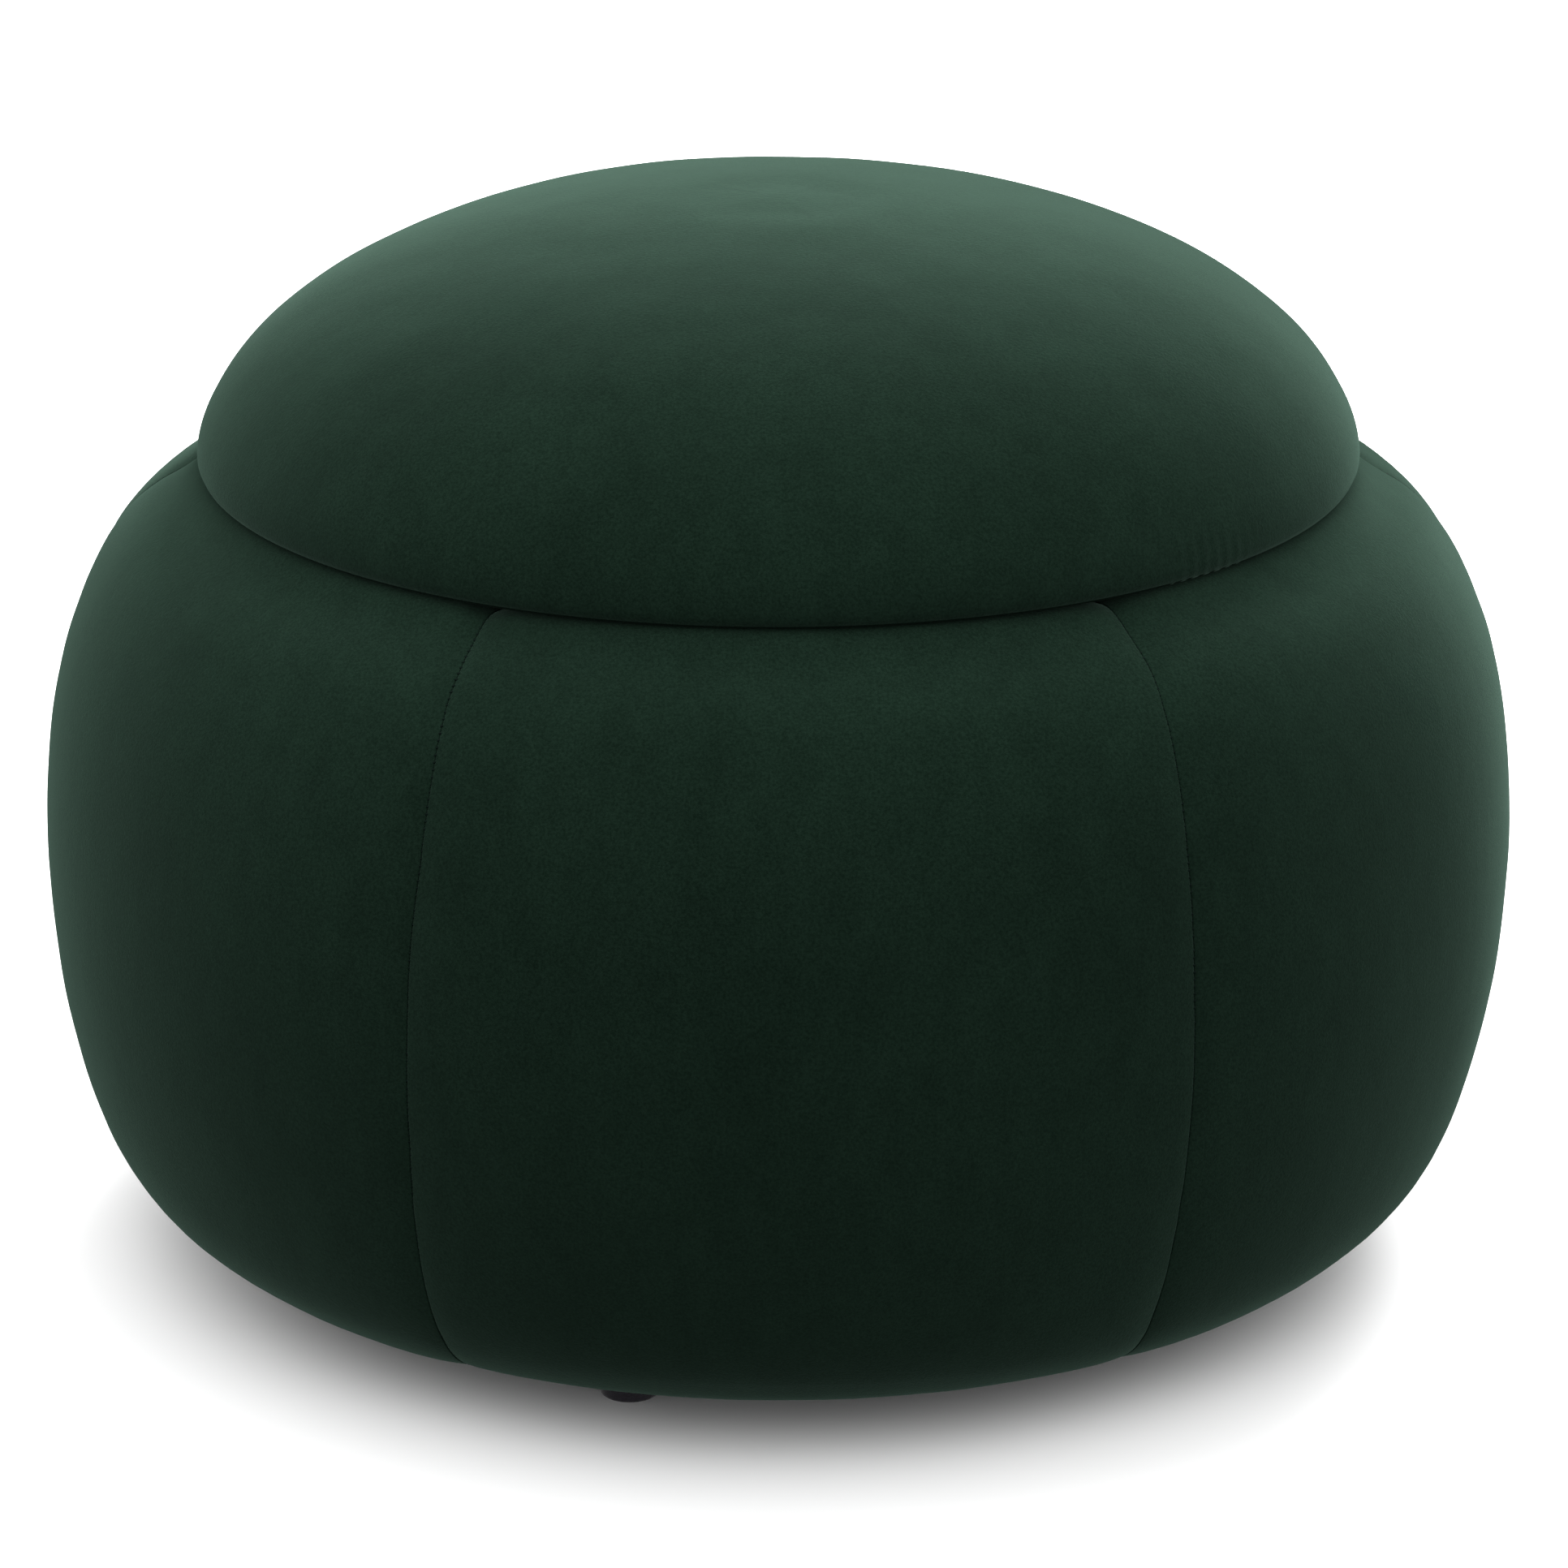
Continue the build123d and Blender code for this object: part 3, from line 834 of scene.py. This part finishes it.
def make_stitches(index):
    """The thread that shows between two panels: one short bar across the seam at each stitch."""
    section = side_section(0)
    count = int(lengths(section)[-1] / stitch_pitch)
    spine = resample(section, count)
    normals = normals_of(spine)
    points, faces = [], []
    for i in range(1, count - 1):
        (r, z), (nr, nz) = spine[i], normals[i]
        a = seam_angle(index, z)
        out, along = Vector((cos(a), sin(a), 0)), Vector((-sin(a), cos(a), 0))
        normal = out * nr + Vector((0, 0, nz))
        up = normal.cross(along)
        tilt = along + up * (thread_slant + slant_spread * lump(i, index, 0, 1.7))
        height = (shoulder_rise(r, z) - crown_sink * crown_at(r, z) - seam_dip * looseness(r, z)
                  - thread_depth)
        centre = out * r + Vector((0, 0, z)) + normal * height
        first = len(points)
        for k in range(thread_rings):
            t = k / (thread_rings - 1) * 2 - 1
            girth = thread_girth * max(thread_blunt, 1 - t * t) ** 0.5
            middle = centre + tilt * (t * thread_half_length) - normal * (thread_dive * t * t)
            for m in range(thread_sides):
                b = 2 * pi * m / thread_sides
                points.append(middle + (normal * cos(b) + up * sin(b)) * girth)
        faces += grid_faces(thread_rings, thread_sides, first, wrap=True)
        last = first + (thread_rings - 1) * thread_sides
        faces.append([first + m for m in range(thread_sides)][::-1])
        faces.append([last + m for m in range(thread_sides)])
    seam = new_object(f"seam_thread_{index + 1}", points, faces, materials["thread"], "base")


for panel in range(panel_count):
    make_side_panel(panel)
    make_side_foam(panel)
    make_stitches(panel)


# ------------------------------------------------------------ base: well and underside

def make_well_lining():
    """The cloth round the well, glued to the drum, with fine upright ripples."""
    ripple_height = 0.5 * mm
    height = well_high.z - well_low.z
    inner_radius = well_high.x - lining_t
    up = [(inner_radius, well_low.z + t * height) for t in np.linspace(0, 1, 30)]
    glued = [(well_high.x, well_high.z), (well_high.x, well_low.z)]
    loop = glued + up

    def ripple(a, i):
        if i < len(glued):
            return 0, 0
        r, z = loop[i]
        x, y = r * cos(a), r * sin(a)
        wave = lump(x, y, z * 0.25, 30 * mm) + 0.5 * lump(x, y, z * 0.2, 11 * mm)
        return -ripple_height * max(0, wave), 0

    lining = turned("well_lining", loop, materials["lining"], "base", ripple, all_round(360))
    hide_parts("storage_lining")


def make_well_floor():
    """The cloth-covered board in the bottom of the well, with soft edges."""
    dimple_height, dimple_size = 0.25 * mm, 45 * mm
    radius = floor_high.x - 1.2 * mm
    low, high = floor_low.z, floor_high.z
    inner_ring, outer_ring = 20 * mm, radius - 3 * mm
    edge = arc((radius - 1.4 * mm, (low + high) / 2), (high - low) / 2, -90, 90)
    loop = chain([(0, low)], level_run(inner_ring, outer_ring, low, 12), edge,
                 level_run(outer_ring, inner_ring, high, 30), [(0, high)])

    def dimple(a, i):
        r, z = loop[i + 1]
        if z < high - 1e-5:
            return 0, 0
        return 0, dimple_height * lump(r * cos(a), r * sin(a), 0, dimple_size)

    floor = turned("well_floor", loop, materials["lining"], "base", dimple)
    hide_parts("storage_floor")


def stretched_sheet(name, low, high, sag, node, body):
    """A round non-woven sheet stapled along its edge, which hangs a little inside it."""
    radius, thickness = high.x, high.z - low.z
    rim = radius - thickness / 2
    edge = arc((rim, (low.z + high.z) / 2), thickness / 2, -90, 90, 5)
    under = level_run(6 * mm, rim - 2 * mm, low.z, 40)
    over = under[::-1] * (1, 0) + (0, high.z)
    loop = chain([(0, low.z)], under, edge, over, [(0, high.z)])

    def hang(a, i):
        r, z = loop[i + 1]
        slack = min(1, max(0, (rim - r) / (60 * mm)))
        x, y = r * cos(a), r * sin(a)
        fold = lump(x, y, 0, 55 * mm) + 0.5 * lump(x, y, 0, 20 * mm, 3.0)
        return 0, -sag * slack * (0.75 + 0.25 * fold)

    sheet = turned(name, loop, materials["non_woven"], body, hang, all_round(240))
    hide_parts(node)


make_well_lining()
make_well_floor()
stretched_sheet("underside_cloth", dust_low, dust_high, 0.5 * mm,
                "dust_cover", "base")
stretched_sheet("lid_underside_cloth", lid_lining_low, lid_lining_high, 0.25 * mm,
                "lid_lining", "lid")


# ------------------------------------------------------------ lid

def lid_section(inset):
    """The lid's outline, that far under its surface, from the raw edge beneath to the top."""
    low, widest = lid_low.z + inset, lid_radius - inset
    edge_z = lid_low.z + lid_roll
    high = lid_high.z - inset
    k_edge, k_top = lid_fullness
    t = np.linspace(0, 1, lid_edge_points)
    turning = np.stack([rise_radius + t * (lid_flat_radius - rise_radius),
                        low + edge_rise * t * t * (3 - 2 * t)], axis=1)
    low += edge_rise
    roll = bezier([(lid_flat_radius, low),
                   (lid_flat_radius + roll_fullness * (widest - lid_flat_radius), low),
                   (widest, edge_z - roll_fullness * (edge_z - low)),
                   (widest, edge_z)], 24)
    dome = bezier([(widest, edge_z), (widest, edge_z + k_edge * (high - edge_z)),
                   (k_top * widest, high), (0, high)], 90)
    return chain([(lid_cover_edge, low - edge_rise)], turning, roll, dome)


def swollen_lid():
    """The lid's cushion blown up over its board, where its cover is held."""
    outline = resample(lid_section(0), lid_rows)
    board = [(r, lid_low.z) for r in lid_board_rings]
    loop = np.vstack([[(0, lid_low.z)], board, outline])

    def held(i, j):
        r, z = loop[i + 1]
        return r < lid_flat_radius and z < lid_low.z + lid_held_height

    field = blown_up(loop, held, lid_segments, lid_pressure, lid_stiffness)[len(board):]
    field = np.clip(field, 0, lid_slack) - field[len(field) // 2:].mean()
    calm = np.array([smooth(r / lid_calm_radius) for r in outline[:-1, 0]])[:, None]
    level = field[calm[:, 0] > 0.99][-1].mean()
    return level + calm * (field - level)


lid_field = swollen_lid()


def lid_swell(a, r, z, share):
    """The cushion's unevenness, with a patch of fine gathers low on its right."""
    x, y = r * cos(a), r * sin(a)
    fade = min(1, max(0, (z - lid_low.z - lid_roll) / lid_wave_rise))
    swell = fade * unevenness(x, y, z, lid_waves)
    if lid_field is not None:
        settled = sampled(lid_field, share * (len(lid_field) - 1), a)
        swell += fade * max(settled, -mm)
    turn = (a - gather_angle) / gather_half_width
    rise = (z - gather_z) / gather_half_height
    patch = exp(-turn**4 - rise**2)
    return swell - gather_depth * patch * (1 + cos(2 * pi * (a - gather_angle) / gather_pitch))


def swelling(outline, first=0, back=False):
    """An offset for turned(): the points of a loop from that index on are those of the outline
    and follow the cushion's swell. back says that they run from the top down."""
    outward = normals_of(outline)
    share = lengths(outline) / lengths(outline)[-1]
    count = len(outline)

    def offset(a, i):
        k = i - first
        if not 0 <= k < count:
            return 0, 0
        k = count - 1 - k if back else k
        (r, z), (nr, nz) = outline[k], outward[k]
        d = lid_swell(a, r, z, share[k])
        return nr * d, nz * d

    return offset


def make_lid_cover():
    """The lid's velvet, with painted shade on its lowest edge: a darker, duller velvet there. Its
    mesh is finer where the gathers are."""
    outside = resample(lid_section(0), lid_cover_rows)
    thick = outside - normals_of(outside) * cover_t
    thick[-1] = (0, outside[-1][1] - cover_t)
    loop = np.vstack([thick[::-1], outside])
    down, up = swelling(outside, -1, back=True), swelling(outside, len(outside) - 1)

    def offset(a, i):
        return down(a, i) if i < len(outside) - 1 else up(a, i)

    plain = all_round(lid_cover_segments)
    fine = np.arange(gather_angle - gather_reach, gather_angle + gather_reach, gather_step)
    angles = np.concatenate([plain[plain < fine[0] - 1e-3], fine, plain[plain > fine[-1] + 1e-3]])
    cover = turned("lid_velvet", loop, materials["velvet"], "lid", offset, angles)
    # Painted shade: the faces at the lid's lowest edge get the darker, duller velvet
    painted_shade_z = lid_low.z + painted_shade_height
    lowest = [face for face in cover.data.polygons if face.center.z < painted_shade_z]
    paint_shaded_velvet(cover, lowest, materials["velvet_painted_shade"])
    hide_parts("lid_cover")


def foam_dome(inset, count):
    """The outline of the foam dome, that far under the cover, from its widest point to the top."""
    dome = lid_section(inset)
    return resample(dome[np.argmax(dome[:, 0]):], count)


def make_lid_padding():
    """The wadding between the cover and the foam, wrapped round the edge of the board."""
    gap = lid_foam_gap
    outer = resample(lid_section(cover_t + gap)[lid_edge_points:], 90)
    inner = foam_dome(cover_t + wadding_t - gap, 70)
    board_edge = lid_board_high.x + gap
    loop = np.vstack([[(board_edge, inner[0][1]), (board_edge, outer[0][1])], outer, inner[::-1]])
    up, down = swelling(outer, 2), swelling(inner, 2 + len(outer), back=True)

    def offset(a, i):
        return up(a, i) if i < 2 + len(outer) else down(a, i)

    padding = turned("lid_padding", loop, materials["wadding"], "lid", offset)
    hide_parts("lid_wadding")


def make_lid_foam(name, node, low, high):
    """One of the two layers of foam that are glued together into the dome."""
    gap = lid_foam_gap
    dome = foam_dome(cover_t + wadding_t + gap, 120)
    side = dome[(dome[:, 1] >= low) & (dome[:, 1] <= high)]
    if low > lid_board_high.z:
        start = [(0, low)]
    else:
        beside_board = lid_board_high.x + gap
        start = [(0, lid_board_high.z), (beside_board, lid_board_high.z), (beside_board, low + gap)]
    loop = chain(start, side, [(0, side[-1][1])])
    first = len(start) - 1
    foam_layer = turned(name, loop, materials["foam"], "lid", swelling(side, first))
    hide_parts(node)


make_lid_cover()
make_lid_padding()
make_lid_foam("lid_foam_base", "lid_foam_firm", firm_low.z, firm_high.z)
make_lid_foam("lid_foam_crown", "lid_foam_soft", soft_low.z, soft_high.z)


# ------------------------------------------------------------ floor, light and camera

def make_floor():
    """A plain white floor. It throws no light back on the piece, so its underside stays dark."""
    n = Nodes("floor")
    n.set(Roughness=0.9, Specular_IOR_Level=0.1)
    dust = n.noise(3, 2)
    n.colour(n.ramp(dust, "Fac", [(0.4, grey(0.97)), (0.6, grey(0.98))]))
    mesh = bpy.data.meshes.new("floor")
    reach = 30
    corners = [(-reach, -reach, 0), (reach, -reach, 0), (reach, reach, 0), (-reach, reach, 0)]
    mesh.from_pydata(corners, [], [(0, 1, 2, 3)])
    mesh.materials.append(n.material)
    floor = bpy.data.objects.new("floor", mesh)
    floor.visible_diffuse = floor.visible_glossy = False
    bpy.context.scene.collection.objects.link(floor)


def make_light(name, place, target, size, power):
    """A square soft light that shines at the target."""
    data = bpy.data.lights.new(name, "AREA")
    data.shape = "RECTANGLE"
    data.size = data.size_y = size
    data.energy = power
    light = bpy.data.objects.new(name, data)
    light.location = place
    light.rotation_euler = (Vector(target) - Vector(place)).to_track_quat("-Z", "Y").to_euler()
    bpy.context.scene.collection.objects.link(light)


def make_world():
    """A white studio, brightest overhead and dim below the horizon, in place of the light that a
    floor gives back."""
    world = bpy.data.worlds.new("studio")
    world.use_nodes = True
    tree = world.node_tree
    place = tree.nodes.new("ShaderNodeTexCoord")
    split = tree.nodes.new("ShaderNodeSeparateXYZ")
    height = tree.nodes.new("ShaderNodeMapRange")
    height.inputs["From Min"].default_value = -1
    ramp = tree.nodes.new("ShaderNodeValToRGB")
    set_stops(ramp, [(0.0, grey(0.04)), (0.47, grey(0.085)), (0.56, grey(0.42)), (1.0, grey(1.0))])
    background = tree.nodes["Background"]
    background.inputs["Strength"].default_value = studio_light
    tree.links.new(place.outputs["Generated"], split.inputs[0])
    tree.links.new(split.outputs["Z"], height.inputs["Value"])
    tree.links.new(height.outputs[0], ramp.inputs[0])
    tree.links.new(ramp.outputs[0], background.inputs["Color"])
    bpy.context.scene.world = world


def make_camera():
    """The photograph's camera: 2.75 m off, a little to the left, looking down at 20 degrees."""
    distance, azimuth, elevation = 2.751, radians(-2.08), radians(19.81)
    aim_right, aim_up = 2.3 * mm, 22.8 * mm
    middle = Vector((0, 0, equator_z))
    back = Vector((sin(azimuth) * cos(elevation), -cos(azimuth) * cos(elevation), sin(elevation)))
    right = Vector((cos(azimuth), sin(azimuth), 0))
    aim = middle + right * aim_right + Vector((0, 0, aim_up))
    data = bpy.data.cameras.new("camera")
    data.lens, data.sensor_width = 150, 36
    camera = bpy.data.objects.new("camera", data)
    camera.location = middle + back * distance
    camera.rotation_euler = (aim - camera.location).to_track_quat("-Z", "Y").to_euler()
    bpy.context.scene.collection.objects.link(camera)
    bpy.context.scene.camera = camera


make_floor()
make_world()
make_light("overhead", place=(-0.3, 0.6, 2.6), target=(0, 0, 0.2), size=2.0, power=14)
make_light("back", place=(1.0, 2.4, 1.3), target=(0, 0, 0.35), size=1.6, power=125)
make_camera()
bpy.context.scene.view_settings.view_transform = "Standard"
